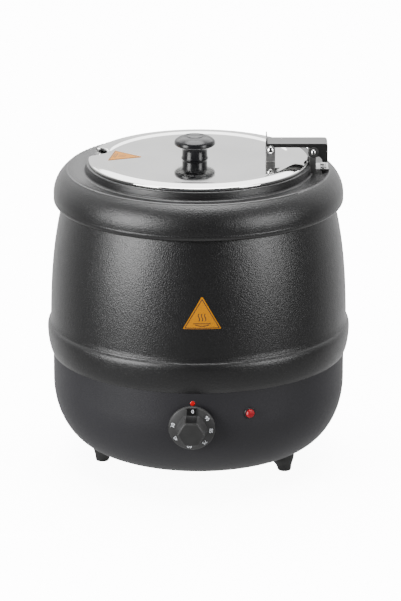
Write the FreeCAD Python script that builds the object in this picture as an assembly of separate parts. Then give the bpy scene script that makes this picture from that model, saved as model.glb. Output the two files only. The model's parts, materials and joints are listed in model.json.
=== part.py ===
"""Countertop soup kettle: a steel water bath and lift-out pot in a round black body.

Millimetres, +Z up.  The origin is on the kettle's axis, level with the soles of
its feet.  The control dial faces -Y and the lid is hinged at +X.
"""
import FreeCAD, Part
import math
import os

V = FreeCAD.Vector
UP = V(0, 0, 1)

# ---- driving dimensions ------------------------------------------------------
# body
BOTTOM_Z = 20.0            # underside of the bowl
BOWL_R = 163.8             # bowl's upright wall
BOWL_FLAT_R = 110.0        # the bowl's bottom is flat out to here
BOWL_TURN_Z = 95.0         # the rounded corner ends here
SEAM_Z = 128.0             # bowl meets jacket
BOWL_SHEET = 1.2
SERVICE_R = 88.0           # opening in the bowl's bottom
JACKET_SHEET = 1.2
JACKET_FOOT_R = 164.6      # jacket's lower edge
BEAD_R = 170.0
BEAD_Z = 156.5             # the body is widest here
NECK_R = 152.0             # jacket's top edge
NECK_Z = 299.0
COLLAR_R = 161.8
RIDGE_R = 146.2
SEAT_Z = 345.0             # top of the collar's seat, under the lid
SEAT_R = 126.2
SEAT_BORE_R = 111.0
POT_LEDGE_R = 116.2
POT_LEDGE_Z = 343.2

# vessels
BATH_R = 123.0
BATH_SHEET = 0.8
BATH_FLOOR_Z = 100.0
BATH_FLANGE_Z = 331.8
POT_R = 106.0
POT_SHEET = 0.8
POT_FLOOR_Z = 112.0
POT_FLANGE_R = 115.5
POT_FLANGE = 1.2

# lid and its hinge
LID_R = 122.3
LID_DISC_R = 101.0          # flat middle; the band outside it is crowned
LID_DISC_Z = 349.0
LID_SHEET = 1.2
NOTCH_R = 18.0             # ladle notch
NOTCH_R_POS = 123.0
NOTCH_AT = 168.5           # degrees from +X
KNOB_X = -4.1
PIVOT_X = 127.7            # fixed hinge pin
PIVOT_Z = 359.2
LINK_X = 80.0              # pin between arm and lid
LINK_Z = 362.0
PIN_R = 2.5
RUNNING = 0.05             # radial clearance of what turns
ARM_W = 28.0
ARM_SHEET = 1.4
ARM_TOP_Z = 369.0
ARM_END_X = 143.7
EAR_GAP = 0.15             # between the sides of neighbouring hinge leaves
RELIEF_HALF_W = 17.0       # notch in the seat that the arm's tail swings into
RELIEF_X = 115.9
RELIEF_Z = 335.4

# controls
DIAL_X = -7.0
DIAL_Z = 89.5
DIAL_TILT = 4.0            # the dial leans forwards and down
DIAL_R = 26.0
DIAL_BACK = 2.4
DIAL_RIM = 2.6
DIAL_SKIRT = 6.6
HUB_R = 15.5
DIAL_FRONT = 24.0
THERMOSTAT_FACE = -5.0     # along the dial axis, behind the bowl wall
SHAFT_R = 3.0
LAMP_AT = -70.0
LAMP_Z = 102.0
MARK_AT = -92.2
MARK_Z = 116.3
MARK_R = 2.8

# feet and fixings
FOOT_R_POS = 111.5
FOOT_AT = {"front_left": 192.4, "front_right": -29.8, "rear": 81.3}
FOOT_TOP_R = 14.5
FOOT_TOP_INWARD = 4.0      # the foot's top is nearer the axis than its sole
FOOT_SOLE_R = 7.6
FOOT_RECESS_R = 5.2
FOOT_FLARE = ((0.0, 1.0), (0.12, 4.5), (0.42, 9.0), (0.78, 13.0), (1.0, 17.5), (1.0, 26.0))
CHASSIS_Z = 56.0
CHASSIS_SHEET = 1.2
GLAND_AT = 90.0
GLAND_Z = 62.0
JACKET_LABEL_SIDE = 42.0
LID_LABEL_SIDE = 40.0
LABEL_T = 0.35

nodes = {}


# ---- helpers -----------------------------------------------------------------
def polar(radius, degrees, z):
    a = math.radians(degrees)
    return V(radius * math.cos(a), radius * math.sin(a), z)


def seg(a, b):
    return Part.makeLine(V(a[0], 0, a[1]), V(b[0], 0, b[1]))


def arc(a, mid, b):
    return Part.Arc(V(a[0], 0, a[1]), V(mid[0], 0, mid[1]), V(b[0], 0, b[1])).toShape()


def curve(points):
    spline = Part.BSplineCurve()
    spline.interpolate([V(r, 0, z) for r, z in points])
    return spline.toShape()


def chain(points):
    """Edges through (r, z) points; a point given as (r, z, mid_r, mid_z) is reached by an arc."""
    edges = []
    for here, there in zip(points, points[1:]):
        if len(there) == 4:
            edges.append(arc(here[:2], there[2:], there[:2]))
        else:
            edges.append(seg(here[:2], there[:2]))
    return edges


def turned(points):
    """Solid of revolution about Z from a closed outline of (r, z) points and arcs."""
    edges = chain(list(points) + [points[0][:2]])
    return Part.Face(Part.Wire(edges)).revolve(V(0, 0, 0), UP, 360)


def rod(radius, start, end):
    along = end - start
    return Part.makeCylinder(radius, along.Length, start, along)


def tube(outer, inner, start, end):
    extra = (end - start).normalize() * 1.0
    return rod(outer, start, end).cut(rod(inner, start - extra, end + extra))


def slab(x0, x1, y0, y1, z0, z1):
    return Part.makeBox(x1 - x0, y1 - y0, z1 - z0, V(x0, y0, z0))


def plate_xz(points, y0, y1):
    """Flat plate from an outline in the X-Z plane, from y0 to y1."""
    edges = chain(list(points) + [points[0][:2]])
    face = Part.Face(Part.Wire(edges))
    face.translate(V(0, y0, 0))
    return face.extrude(V(0, y1 - y0, 0))


def prism(count, radius, start, end, turn=0.0):
    """Regular prism between two points, radius to its corners."""
    along = end - start
    corners = []
    for i in range(count + 1):
        a = math.radians(turn + 360.0 * i / count)
        corners.append(V(radius * math.cos(a), radius * math.sin(a), 0))
    face = Part.Face(Part.makePolygon(corners))
    solid = face.extrude(V(0, 0, along.Length))
    solid.Placement = FreeCAD.Placement(start, FreeCAD.Rotation(UP, along))
    return solid


def bent_tube(points, radius):
    """Round tube along straight runs joined by arcs as large as the runs allow."""
    edges = []
    last = points[0]
    for before, corner, after in zip(points, points[1:], points[2:]):
        back = before - corner
        ahead = after - corner
        turn = math.pi - back.getAngle(ahead)
        reach = 0.45 * min(back.Length, ahead.Length)
        bend = reach / math.tan(turn / 2)
        enter = corner + back.normalize() * reach
        leave = corner + ahead.normalize() * reach
        inward = (back + ahead).normalize()
        centre = corner + inward * (bend / math.cos(turn / 2))
        middle = centre - inward * bend
        edges.append(Part.makeLine(last, enter))
        edges.append(Part.Arc(enter, middle, leave).toShape())
        last = leave
    edges.append(Part.makeLine(last, points[-1]))
    path = Part.Wire(edges)
    ring = Part.Wire(Part.makeCircle(radius, points[0], points[1] - points[0]))
    return path.makePipeShell([ring], True, False)


def group(solids):
    return Part.makeCompound(solids)


def add(name, shape):
    nodes[name] = shape


# ---- the body's outer skins ----------------------------------------------------
CORNER_R = BOWL_R - BOWL_FLAT_R
CORNER_H = BOWL_TURN_Z - BOTTOM_Z


def bowl_corner(inset):
    """Quarter ellipse of the bowl's bottom corner, drawn inwards by inset."""
    ellipse = Part.Ellipse(V(BOWL_FLAT_R, 0, BOWL_TURN_Z - CORNER_H + inset),
                           V(BOWL_R - inset, 0, BOWL_TURN_Z),
                           V(BOWL_FLAT_R, 0, BOWL_TURN_Z))
    low = ellipse.parameter(V(BOWL_FLAT_R, 0, BOTTOM_Z + inset))
    high = ellipse.parameter(V(BOWL_R - inset, 0, BOWL_TURN_Z))
    if high < low:
        high += 2 * math.pi
    if high - low > math.pi:
        low, high = high - 2 * math.pi, low
    return Part.ArcOfEllipse(ellipse, low, high).toShape()


def bowl_volume(inset):
    """Everything inside the bowl's skin at this inset, closed to the axis."""
    z = BOTTOM_Z + inset
    r = BOWL_R - inset
    edges = [seg((0, z), (BOWL_FLAT_R, z)), bowl_corner(inset),
             seg((r, BOWL_TURN_Z), (r, SEAM_Z)), seg((r, SEAM_Z), (0, SEAM_Z)),
             seg((0, SEAM_Z), (0, z))]
    return Part.Face(Part.Wire(Part.__sortEdges__(edges))).revolve(V(0, 0, 0), UP, 360)


BOWL_OUTSIDE = bowl_volume(0.0)
BOWL_INSIDE = bowl_volume(BOWL_SHEET)


def surface_radius(z):
    """Bowl's outer radius at height z."""
    if z >= BOWL_TURN_Z:
        return BOWL_R
    drop = (BOWL_TURN_Z - z) / CORNER_H
    return BOWL_FLAT_R + CORNER_R * math.sqrt(1 - drop * drop)


# The dial's axis meets the bowl at DIAL_POINT and leaves it along DIAL_OUT.
DIAL_SURFACE_R = surface_radius(DIAL_Z)
DIAL_POINT = V(DIAL_X, -math.sqrt(DIAL_SURFACE_R ** 2 - DIAL_X ** 2), DIAL_Z)
_flat = V(DIAL_POINT.x, DIAL_POINT.y, 0).normalize()
DIAL_OUT = (_flat * math.cos(math.radians(DIAL_TILT)) - UP * math.sin(math.radians(DIAL_TILT)))
DIAL_SIDE = DIAL_OUT.cross(UP).normalize()
DIAL_TALL = DIAL_SIDE.cross(DIAL_OUT).normalize()


def on_dial(depth, side=0.0, tall=0.0):
    """Point at this distance outwards along the dial's axis, and off it."""
    return DIAL_POINT + DIAL_OUT * depth + DIAL_SIDE * side + DIAL_TALL * tall


def feet_points(z):
    return [polar(FOOT_R_POS, a, z) for a in FOOT_AT.values()]


def make_bowl():
    shell = BOWL_OUTSIDE.cut(BOWL_INSIDE)
    shell = shell.cut(rod(SERVICE_R, V(0, 0, 0), V(0, 0, BOTTOM_Z + 10)))
    for p in feet_points(0):
        shell = shell.cut(rod(2.7, p, p + UP * 40))
    shell = shell.cut(rod(5.3, on_dial(-12), on_dial(12)))
    for side in (-14, 14):
        shell = shell.cut(rod(2.1, on_dial(-12, side), on_dial(12, side)))
    lamp = polar(1, LAMP_AT, 0)
    shell = shell.cut(rod(5.1, lamp * (BOWL_R - 12) + UP * LAMP_Z, lamp * (BOWL_R + 12) + UP * LAMP_Z))
    gland = polar(1, GLAND_AT, 0)
    shell = shell.cut(rod(8.1, gland * 100 + UP * GLAND_Z, gland * 200 + UP * GLAND_Z))
    for i in range(4):
        shell = shell.cut(rod(1.8, polar(91, 45 + 90 * i, 0), polar(91, 45 + 90 * i, 40)))
    add("lower_bowl", shell)
    wall = BOWL_R - BOWL_SHEET
    lower_edge = JACKET_FOOT_R - JACKET_SHEET - 0.1
    add("seam_ring", turned([(wall - 1.2, SEAM_Z - 12), (wall, SEAM_Z - 12), (wall, SEAM_Z),
                             (lower_edge, SEAM_Z), (lower_edge, SEAM_Z + 14), (wall - 1.2, SEAM_Z + 14)]))


def jacket_wall(outwards):
    """Barrel-shaped wall above the bead, moved outwards by this much."""
    return [(166.3 + outwards, 166), (164.9 + outwards, 210), (161.2 + outwards, 250.6),
            (NECK_R + outwards, NECK_Z - max(0, -outwards))]


def make_jacket():
    t = JACKET_SHEET
    outer = jacket_wall(0.0)
    inner = jacket_wall(-t)
    foot = JACKET_FOOT_R
    edges = [arc((foot, SEAM_Z), (168.7, 141), (BEAD_R, BEAD_Z)),
             arc((BEAD_R, BEAD_Z), (169.0, 161.6), (166.9, 163.7)),
             seg((166.9, 163.7), outer[0]),
             curve(outer),
             seg(outer[-1], (141, NECK_Z)),
             seg((141, NECK_Z), (141, NECK_Z - t)),
             seg((141, NECK_Z - t), inner[-1]),
             curve(inner),
             seg(inner[0], (166.2 - t, 164.1)),
             arc((166.2 - t, 164.1), (168.4 - t, 161.2), (BEAD_R - t, BEAD_Z - 0.8)),
             arc((BEAD_R - t, BEAD_Z - 0.8), (168.7 - t, 141.3), (foot - t, SEAM_Z)),
             seg((foot - t, SEAM_Z), (foot, SEAM_Z))]
    face = Part.Face(Part.Wire(Part.__sortEdges__(edges)))
    add("upper_jacket", face.revolve(V(0, 0, 0), UP, 360))


def make_collar():
    outline = [(143, NECK_Z), (156.8, NECK_Z), (COLLAR_R, 306, 160.7, 301),
               (RIDGE_R + 2.1, 336.9, 159.0, 323.5), (RIDGE_R - 1.2, 337.6, RIDGE_R + 0.7, 338.0),
               (129, 335, 137, 335.2), (SEAT_R, 338, 127, 335.8), (125.4, 344),
               (124.4, SEAT_Z, 125.1, 344.7), (POT_LEDGE_R, SEAT_Z), (POT_LEDGE_R, POT_LEDGE_Z),
               (SEAT_BORE_R, POT_LEDGE_Z), (SEAT_BORE_R, 333), (127, 333), (144.6, 334.6),
               (160.2, 307, 157.3, 322.7), (159.0, 300.6), (143, 300.6)]
    collar = turned(outline)
    groove = turned([(113.2, 333), (124, 333), (124, 341), (113.2, 341)])
    collar = collar.cut(groove.cut(slab(100, 130, -20, 20, 330, 345)))
    collar = collar.cut(slab(RELIEF_X, 127.5, -RELIEF_HALF_W, RELIEF_HALF_W, RELIEF_Z, 360))
    for y in (-7, 7):
        collar = collar.cut(rod(2.1, V(139, y, 320), V(139, y, 345)))
    add("top_collar", collar)


def make_bottom_cover():
    cover = rod(SERVICE_R + 6, V(0, 0, BOTTOM_Z - 1.5), V(0, 0, BOTTOM_Z))
    for ring in (38, 56):
        for i in range(12):
            spot = polar(ring, 30 * i, BOTTOM_Z - 3)
            cover = cover.cut(rod(3.5, spot, spot + UP * 6))
    screws = []
    for i in range(4):
        spot = polar(91, 45 + 90 * i, BOTTOM_Z - 1.5)
        cover = cover.cut(rod(1.8, spot - UP, spot + UP * 3))
        screws.append(rod(3.4, spot - UP * 2.2, spot).fuse(rod(1.75, spot, spot + UP * 9)))
    add("bottom_cover", cover)
    add("cover_screws", group(screws))


def make_feet():
    screws = []
    for name, angle in FOOT_AT.items():
        at = polar(FOOT_R_POS, angle, 0)
        inward = polar(-FOOT_TOP_INWARD, angle, 0)
        hoops = []
        for t, z in FOOT_FLARE:
            centre = at + inward * t + UP * z
            hoop_r = FOOT_SOLE_R + (FOOT_TOP_R - FOOT_SOLE_R) * t
            hoops.append(Part.Wire(Part.makeCircle(hoop_r, centre, UP)))
        foot = Part.makeLoft(hoops, True, False)
        sole = Part.makeCone(FOOT_SOLE_R - 0.8, FOOT_SOLE_R, 1.0, at, UP)
        foot = foot.fuse(sole).cut(BOWL_OUTSIDE)
        foot = foot.cut(rod(SERVICE_R + 6.6, V(0, 0, BOTTOM_Z - 2.1), V(0, 0, BOTTOM_Z + 1)))
        foot = foot.cut(rod(FOOT_RECESS_R, at - UP, at + UP * 7)).cut(rod(2.7, at, at + UP * 40))
        add("foot_" + name, foot)
        screw = rod(4.4, at + UP * 3.6, at + UP * 7).fuse(rod(2.5, at + UP * 7, at + UP * 44))
        screws.append(screw)
    add("foot_screws", group(screws))


# ---- vessels -------------------------------------------------------------------
def make_bath():
    r = BATH_R
    t = BATH_SHEET
    z = BATH_FLOOR_Z
    top = BATH_FLANGE_Z
    corner = 12.0
    k = corner * (1 - math.sqrt(0.5))
    outline = [(0, z), (r - corner, z), (r, z + corner, r - k, z + k), (r, top - 1.2),
               (126, top - 1.2), (126, top), (113, top), (113, top - 1.2), (r - t, top - 1.2),
               (r - t, z + corner), (r - corner, z + t, r - k - t * 0.7, z + k + t * 0.7), (0, z + t)]
    add("water_bath", turned(outline))
    add("bath_gasket", turned([(113.5, top), (125.5, top), (125.5, 333), (113.5, 333)]))


def make_pot():
    r = POT_R
    t = POT_SHEET
    z = POT_FLOOR_Z
    top = POT_LEDGE_Z + POT_FLANGE
    corner = 14.0
    k = corner * (1 - math.sqrt(0.5))
    outline = [(0, z), (r - corner, z), (r, z + corner, r - k, z + k), (r, POT_LEDGE_Z - 2),
               (r + 2, POT_LEDGE_Z, r + 0.6, POT_LEDGE_Z - 0.6), (POT_FLANGE_R, POT_LEDGE_Z),
               (POT_FLANGE_R, top), (r + 1.5, top), (r - t, top - 2.4, r - 0.2, top - 0.7),
               (r - t, z + corner), (r - corner, z + t, r - k - t * 0.7, z + k + t * 0.7), (0, z + t)]
    add("soup_pot", turned(outline))


# ---- lid and hinge -----------------------------------------------------------
def make_lid():
    z = LID_DISC_Z
    t = LID_SHEET
    band = LID_DISC_R + 3.0        # the crowned band's inner edge
    rim = LID_R - 2.8
    crest = (band + rim) / 2
    skirt = LID_R - 1.5
    outline = [(0, z), (LID_DISC_R, z), (band, z + 1.0, LID_DISC_R + 1.6, z + 0.35),
               (rim, z + 0.4, crest, z + 2.0), (LID_R, z - 1.8, LID_R - 0.6, z - 0.4),
               (LID_R, SEAT_Z + 0.3), (skirt, SEAT_Z + 0.3), (skirt, z - 1.9),
               (rim - 0.6, z - 0.8, skirt - 0.7, z - 1.1), (band + 0.3, z + 1.0 - t, crest, z + 2.0 - t),
               (LID_DISC_R, z - t, LID_DISC_R + 1.8, z + 0.35 - t), (0, z - t)]
    lid = turned(outline)
    notch = rod(NOTCH_R, polar(NOTCH_R_POS, NOTCH_AT, 330), polar(NOTCH_R_POS, NOTCH_AT, 370))
    lid = lid.cut(notch).cut(rod(2.6, V(KNOB_X, 0, 330), V(KNOB_X, 0, 370)))
    add("lid", lid)


def make_lid_knob():
    z = LID_DISC_Z
    outline = [(2.6, z), (15.0, z), (13.9, z + 5, 14.1, z + 2.5), (14.4, z + 10.2),
               (17.2, z + 13.0, 15.2, z + 12.2), (22.4, z + 16.0, 20.6, z + 14.1), (22.2, z + 19.8, 23.1, z + 17.9),
               (11.5, z + 25.2, 18.2, z + 23.5), (10, z + 24.6), (8.5, z + 25.4), (0, z + 26),
               (0, z + 16), (2.6, z + 16)]
    knob = turned(outline)
    knob.translate(V(KNOB_X, 0, 0))
    add("lid_knob", knob)
    under = V(KNOB_X, 0, z - LID_SHEET)
    head = rod(5.0, under - UP * 2.6, under - UP * 0.8)
    add("knob_screw", head.fuse(rod(2.5, under - UP * 2, V(KNOB_X, 0, z + 15.5))))
    add("knob_washer", tube(7.5, 2.55, under - UP * 0.8, under))


ARM_Y = ARM_W / 2
LEAF_OUT = ARM_Y + EAR_GAP             # the lug's ears are outside the arm's sides
LEAF_IN = ARM_Y - ARM_SHEET - EAR_GAP  # the bracket's ears are inside them


def make_lid_lug():
    z = LID_DISC_Z
    ear_half = 5.3
    ear = [(LINK_X - ear_half, z), (LINK_X + ear_half, z), (LINK_X + ear_half, LINK_Z),
           (LINK_X - ear_half, LINK_Z, LINK_X, LINK_Z + ear_half)]
    base = slab(LINK_X - ear_half, LINK_X + ear_half, -LEAF_OUT, LEAF_OUT, z, z + ARM_SHEET)
    lug = base.fuse(plate_xz(ear, -LEAF_OUT - ARM_SHEET, -LEAF_OUT))
    lug = lug.fuse(plate_xz(ear, LEAF_OUT, LEAF_OUT + ARM_SHEET)).removeSplitter()
    add("lid_lug", lug.cut(rod(PIN_R, V(LINK_X, -30, LINK_Z), V(LINK_X, 30, LINK_Z))))


def domed_pin(x, z, half, head_r):
    """Round pin along Y with a low dome on each end, just outside the leaves it joins."""
    pin = rod(PIN_R, V(x, -half, z), V(x, half, z))
    for way in (-1, 1):
        dome_h = 1.9
        ball_r = (head_r ** 2 + dome_h ** 2) / (2 * dome_h)
        ball = Part.makeSphere(ball_r, V(x, way * (half + dome_h - ball_r), z))
        outside = rod(head_r + 2, V(x, way * half, z), V(x, way * (half + 6), z))
        pin = pin.fuse(ball.common(outside))
    return pin


def arm_side():
    """Side leaf of the arm: a long lip, an eye at each pin and a comma-shaped tail."""
    lip_z = ARM_TOP_Z - 4.4
    leaf = plate_xz([(LINK_X, lip_z), (PIVOT_X, lip_z), (PIVOT_X, ARM_TOP_Z), (LINK_X, ARM_TOP_Z)],
                    0, ARM_SHEET)
    leaf = leaf.fuse(rod(5.0, V(LINK_X, 0, LINK_Z), V(LINK_X, ARM_SHEET, LINK_Z)))
    leaf = leaf.fuse(slab(LINK_X - 5, LINK_X + 5, 0, ARM_SHEET, LINK_Z, ARM_TOP_Z))
    leaf = leaf.fuse(rod(6.2, V(PIVOT_X, 0, PIVOT_Z), V(PIVOT_X, ARM_SHEET, PIVOT_Z)))
    x = ARM_END_X
    z = PIVOT_Z
    tail = [(PIVOT_X, ARM_TOP_Z), (x - 3.5, ARM_TOP_Z), (x, ARM_TOP_Z - 3.5, x - 1.0, ARM_TOP_Z - 1.1),
            (x, z - 8.5), (x - 2.3, z - 11.5, x - 0.6, z - 10.6), (x - 6.1, z - 11.5),
            (x - 10.0, z - 4.9, x - 7.1, z - 7.6), (PIVOT_X, z - 6.2)]
    leaf = leaf.fuse(plate_xz(tail, 0, ARM_SHEET))
    return leaf.removeSplitter()


def make_arm():
    bend_x = ARM_END_X - 3.5
    bend_z = ARM_TOP_Z - 3.5
    end_z = PIVOT_Z + 3.9          # the end wall stops here, so it swings clear of the bracket
    top = slab(LINK_X - 5, bend_x, -ARM_Y, ARM_Y, ARM_TOP_Z - ARM_SHEET, ARM_TOP_Z)
    stop = slab(LINK_X - 5, LINK_X - 5 + ARM_SHEET, -ARM_Y, ARM_Y, ARM_TOP_Z - ARM_SHEET, ARM_TOP_Z + 6.5)
    end = plate_xz([(bend_x, ARM_TOP_Z), (ARM_END_X, bend_z, ARM_END_X - 1.0, ARM_TOP_Z - 1.1),
                    (ARM_END_X, end_z), (ARM_END_X - ARM_SHEET, end_z), (ARM_END_X - ARM_SHEET, bend_z),
                    (bend_x, ARM_TOP_Z - ARM_SHEET, bend_x + 1.3, bend_z + 1.4)], -ARM_Y, ARM_Y)
    arm = top.fuse(stop).fuse(end)
    for y in (-ARM_Y, ARM_Y - ARM_SHEET):
        leaf = arm_side()
        leaf.translate(V(0, y, 0))
        arm = arm.fuse(leaf)
    arm = arm.removeSplitter()
    for x, z in ((PIVOT_X, PIVOT_Z), (LINK_X, LINK_Z)):
        arm = arm.cut(rod(PIN_R + RUNNING, V(x, -30, z), V(x, 30, z)))
    add("lid_arm", arm)


def make_hinge_bracket():
    left = PIVOT_X - 4.8
    right = PIVOT_X + 2.9
    plate_z = 338.0
    ear = [(left, RELIEF_Z), (right, RELIEF_Z + 0.6), (right, PIVOT_Z - 2),
           (PIVOT_X, PIVOT_Z + 4.2, right - 0.4, PIVOT_Z + 2.6),
           (left, PIVOT_Z - 1, left + 1.0, PIVOT_Z + 2.8)]
    bracket = slab(right - 3, 144.6, -LEAF_IN, LEAF_IN, plate_z, plate_z + 1.6)
    for y in (-LEAF_IN, LEAF_IN - ARM_SHEET):
        bracket = bracket.fuse(plate_xz(ear, y, y + ARM_SHEET))
    bracket = bracket.removeSplitter()
    bracket = bracket.cut(rod(PIN_R, V(PIVOT_X, -30, PIVOT_Z), V(PIVOT_X, 30, PIVOT_Z)))
    screws = []
    nuts = []
    for y in (-7, 7):
        bracket = bracket.cut(rod(2.05, V(139, y, 330), V(139, y, 345)))
        head = rod(3.2, V(139, y, plate_z + 1.6), V(139, y, plate_z + 2.9))
        screws.append(head.fuse(rod(2.0, V(139, y, 324), V(139, y, plate_z + 2))))
        nuts.append(prism(6, 4.0, V(139, y, 326.5), V(139, y, 329.7)).cut(
            rod(2.0, V(139, y, 320), V(139, y, 340))))
    add("hinge_bracket", bracket)
    add("bracket_screws", group(screws))
    add("bracket_nuts", group(nuts))
    spacer = slab(133.5, 144, -LEAF_IN, LEAF_IN, 329.7, 333.0)
    for y in (-7, 7):
        spacer = spacer.cut(rod(2.05, V(139, y, 320), V(139, y, 345)))
    add("hinge_backing_plate", spacer)


def make_pins():
    add("hinge_pin", domed_pin(PIVOT_X, PIVOT_Z, ARM_Y + 0.1, 3.1))
    add("lid_pin", domed_pin(LINK_X, LINK_Z, LEAF_OUT + ARM_SHEET, 3.9))


# ---- dial, lamp and index mark ---------------------------------------------------
def make_dial():
    skirt_front = DIAL_BACK + DIAL_SKIRT
    rim = Part.makeCone(DIAL_R, DIAL_R - 0.6, DIAL_RIM, on_dial(DIAL_BACK), DIAL_OUT)
    skirt = rim.fuse(Part.makeCone(DIAL_R - 0.6, HUB_R - 1.5, DIAL_SKIRT - DIAL_RIM,
                                   on_dial(DIAL_BACK + DIAL_RIM), DIAL_OUT))
    hub = prism(6, HUB_R + 1.0, on_dial(skirt_front - 3), on_dial(DIAL_FRONT), 30)
    round_off = Part.makeCone(HUB_R + 3.5, HUB_R - 0.3, DIAL_FRONT - skirt_front + 3,
                              on_dial(skirt_front - 3), DIAL_OUT)
    knob = skirt.fuse(hub.common(round_off)).removeSplitter()
    knob = knob.cut(rod(SHAFT_R, on_dial(0), on_dial(15)))
    knob = knob.cut(rod(7.6, on_dial(DIAL_BACK - 1), on_dial(DIAL_BACK + 1.6)))
    add("control_knob", knob)
    add("thermostat_shaft", rod(SHAFT_R, on_dial(-14), on_dial(15)))


def dial_box(depth0, depth1, half_side, half_tall):
    box = Part.makeBox(2 * half_side, 2 * half_tall, depth1 - depth0, V(-half_side, -half_tall, depth0))
    turn = FreeCAD.Rotation(DIAL_SIDE, DIAL_TALL, DIAL_OUT, "ZXY")
    box.Placement = FreeCAD.Placement(DIAL_POINT, turn)
    return box


def make_thermostat():
    bush_out = 1.4
    bush = rod(5.0, on_dial(THERMOSTAT_FACE), on_dial(bush_out))
    body = dial_box(-27, THERMOSTAT_FACE, 17, 15).fuse(bush)
    body = body.cut(rod(SHAFT_R + RUNNING, on_dial(-14), on_dial(bush_out + 2)))
    for side in (-14, 14):
        body = body.cut(rod(2.0, on_dial(-12, side), on_dial(0, side)))
    add("thermostat_body", body)
    bracket = dial_box(THERMOSTAT_FACE, THERMOSTAT_FACE + 1.1, 21, 8).cut(rod(5.0, on_dial(-8), on_dial(4)))
    screws = []
    for side in (-14, 14):
        bracket = bracket.cut(rod(2.05, on_dial(-8, side), on_dial(4, side)))
        head = rod(3.4, on_dial(0.02, side), on_dial(1.3, side))
        screws.append(head.fuse(rod(2.0, on_dial(-11, side), on_dial(0.5, side))))
    add("thermostat_bracket", bracket)
    add("thermostat_screws", group(screws))


def make_lamp():
    out = polar(1, LAMP_AT, 0)
    base = out * BOWL_R + UP * LAMP_Z
    bezel = Part.makeCone(6.6, 5.6, 1.8, base - out * 0.2, out)
    body = bezel.fuse(rod(5.0, base - out * 24, base)).cut(rod(3.8, base - out * 14, base + out * 4))
    bowl_skin = BOWL_OUTSIDE.cut(rod(5.05, base - out * 30, base + out * 10))
    add("pilot_lamp_body", body.cut(bowl_skin))
    dome = prism(8, 4.7, base + out * 1.62, base + out * 4.8, 22.5)
    taper = Part.makeCone(5.2, 2.2, 3.4, base + out * 1.6, out)
    add("pilot_lamp_lens", dome.common(taper).fuse(rod(3.75, base - out * 8, base + out * 1.7)))
    nut_at = base - out * (BOWL_SHEET + 2.6)
    add("pilot_lamp_nut", prism(6, 8.4, nut_at - out * 3.2, nut_at).cut(
        rod(5.0, nut_at - out * 6, nut_at + out * 3)))


def make_index_mark():
    out = polar(1, MARK_AT, 0)
    base = out * BOWL_R + UP * MARK_Z
    disc = rod(MARK_R, base - out * 2, base + out * 0.6)
    add("index_mark", disc.cut(BOWL_OUTSIDE))


# ---- caution labels ------------------------------------------------------------
def triangle(side):
    """Equilateral triangle with softly cut corners, point up, in its own X-Y plane."""
    height = side * math.sqrt(3) / 2
    cut = side * 0.05
    corners = [V(-side / 2, 0, 0), V(side / 2, 0, 0), V(0, height, 0)]
    ring = []
    for i in range(3):
        here = corners[i]
        ring.append(here + (corners[i - 1] - here).normalize() * cut)
        ring.append(here + (corners[(i + 1) % 3] - here).normalize() * cut)
    ring.append(ring[0])
    return Part.Face(Part.makePolygon(ring))


def make_labels():
    skin = jacket_wall(0.0)
    top = jacket_wall(LABEL_T)
    edges = [curve(skin), seg(skin[-1], top[-1]), curve(top), seg(top[0], skin[0])]
    film = Part.Face(Part.Wire(Part.__sortEdges__(edges))).revolve(V(0, 0, 0), UP, 360)
    stamp = triangle(JACKET_LABEL_SIDE).extrude(V(0, 0, 60))
    stamp.Placement = FreeCAD.Placement(V(4.0, -130, 202.6), FreeCAD.Rotation(V(1, 0, 0), 90))
    add("jacket_label", film.common(stamp))
    flat = triangle(LID_LABEL_SIDE).extrude(V(0, 0, LABEL_T))
    flat.Placement = FreeCAD.Placement(V(-97.0, 9.0, LID_DISC_Z), FreeCAD.Rotation(UP, -100))
    add("lid_label", flat)


# ---- heating and wiring --------------------------------------------------------
STUD_R_POS = 96.0
STUD_AT = (20.0, 140.0, 260.0)


def make_heater():
    z = BATH_FLOOR_Z
    add("heat_spreader", rod(90, V(0, 0, z - 5), V(0, 0, z)))
    ring = Part.makeTorus(70, 3.6, V(0, 0, z - 8.7), UP, 0, 360, 310)
    for angle in (2.0, 308.0):
        ring = ring.fuse(rod(2.4, polar(70, angle, z - 8.7), polar(70, angle, z - 30)))
    add("heating_element", ring)
    shield = turned([(0, 72), (101, 72), (106, 80), (105, 80), (100.4, 73), (0, 73)])
    for angle in (2.0, 308.0):
        shield = shield.cut(rod(6.0, polar(70, angle, 60), polar(70, angle, 90)))
    chassis = rod(126, V(0, 0, CHASSIS_Z), V(0, 0, CHASSIS_Z + CHASSIS_SHEET))
    chassis = chassis.cut(rod(30, V(0, 0, 50), V(0, 0, 60)))
    posts = []
    nuts = []
    for angle in STUD_AT:
        low = polar(STUD_R_POS, angle, CHASSIS_Z)
        shield = shield.cut(rod(3.0, low, low + UP * 40))
        chassis = chassis.cut(rod(3.0, low - UP * 5, low + UP * 5))
        posts.append(rod(3.0, low - UP * 6, low + UP * (z - CHASSIS_Z)))
        for nut_z in (-4.0, CHASSIS_SHEET):
            nuts.append(prism(6, 5.6, low + UP * nut_z, low + UP * (nut_z + 4.0)).cut(
                rod(3.0, low - UP * 10, low + UP * 10)))
        nuts.append(prism(6, 5.6, low + UP * 12, low + UP * 16).cut(rod(3.0, low, low + UP * 20)))
    for p in feet_points(CHASSIS_Z):
        chassis = chassis.cut(rod(2.7, p - UP * 5, p + UP * 5))
    add("heat_shield", shield)
    add("chassis_plate", chassis)
    add("bath_studs", group(posts))
    add("stud_nuts", group(nuts))
    standoffs = []
    for p in feet_points(BOTTOM_Z - 4):
        post = prism(6, 6.5, p, p + UP * (CHASSIS_Z - BOTTOM_Z + 4)).common(BOWL_INSIDE)
        standoffs.append(post.cut(rod(2.5, p, p + UP * 34)))
    add("foot_standoffs", group(standoffs))


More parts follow.
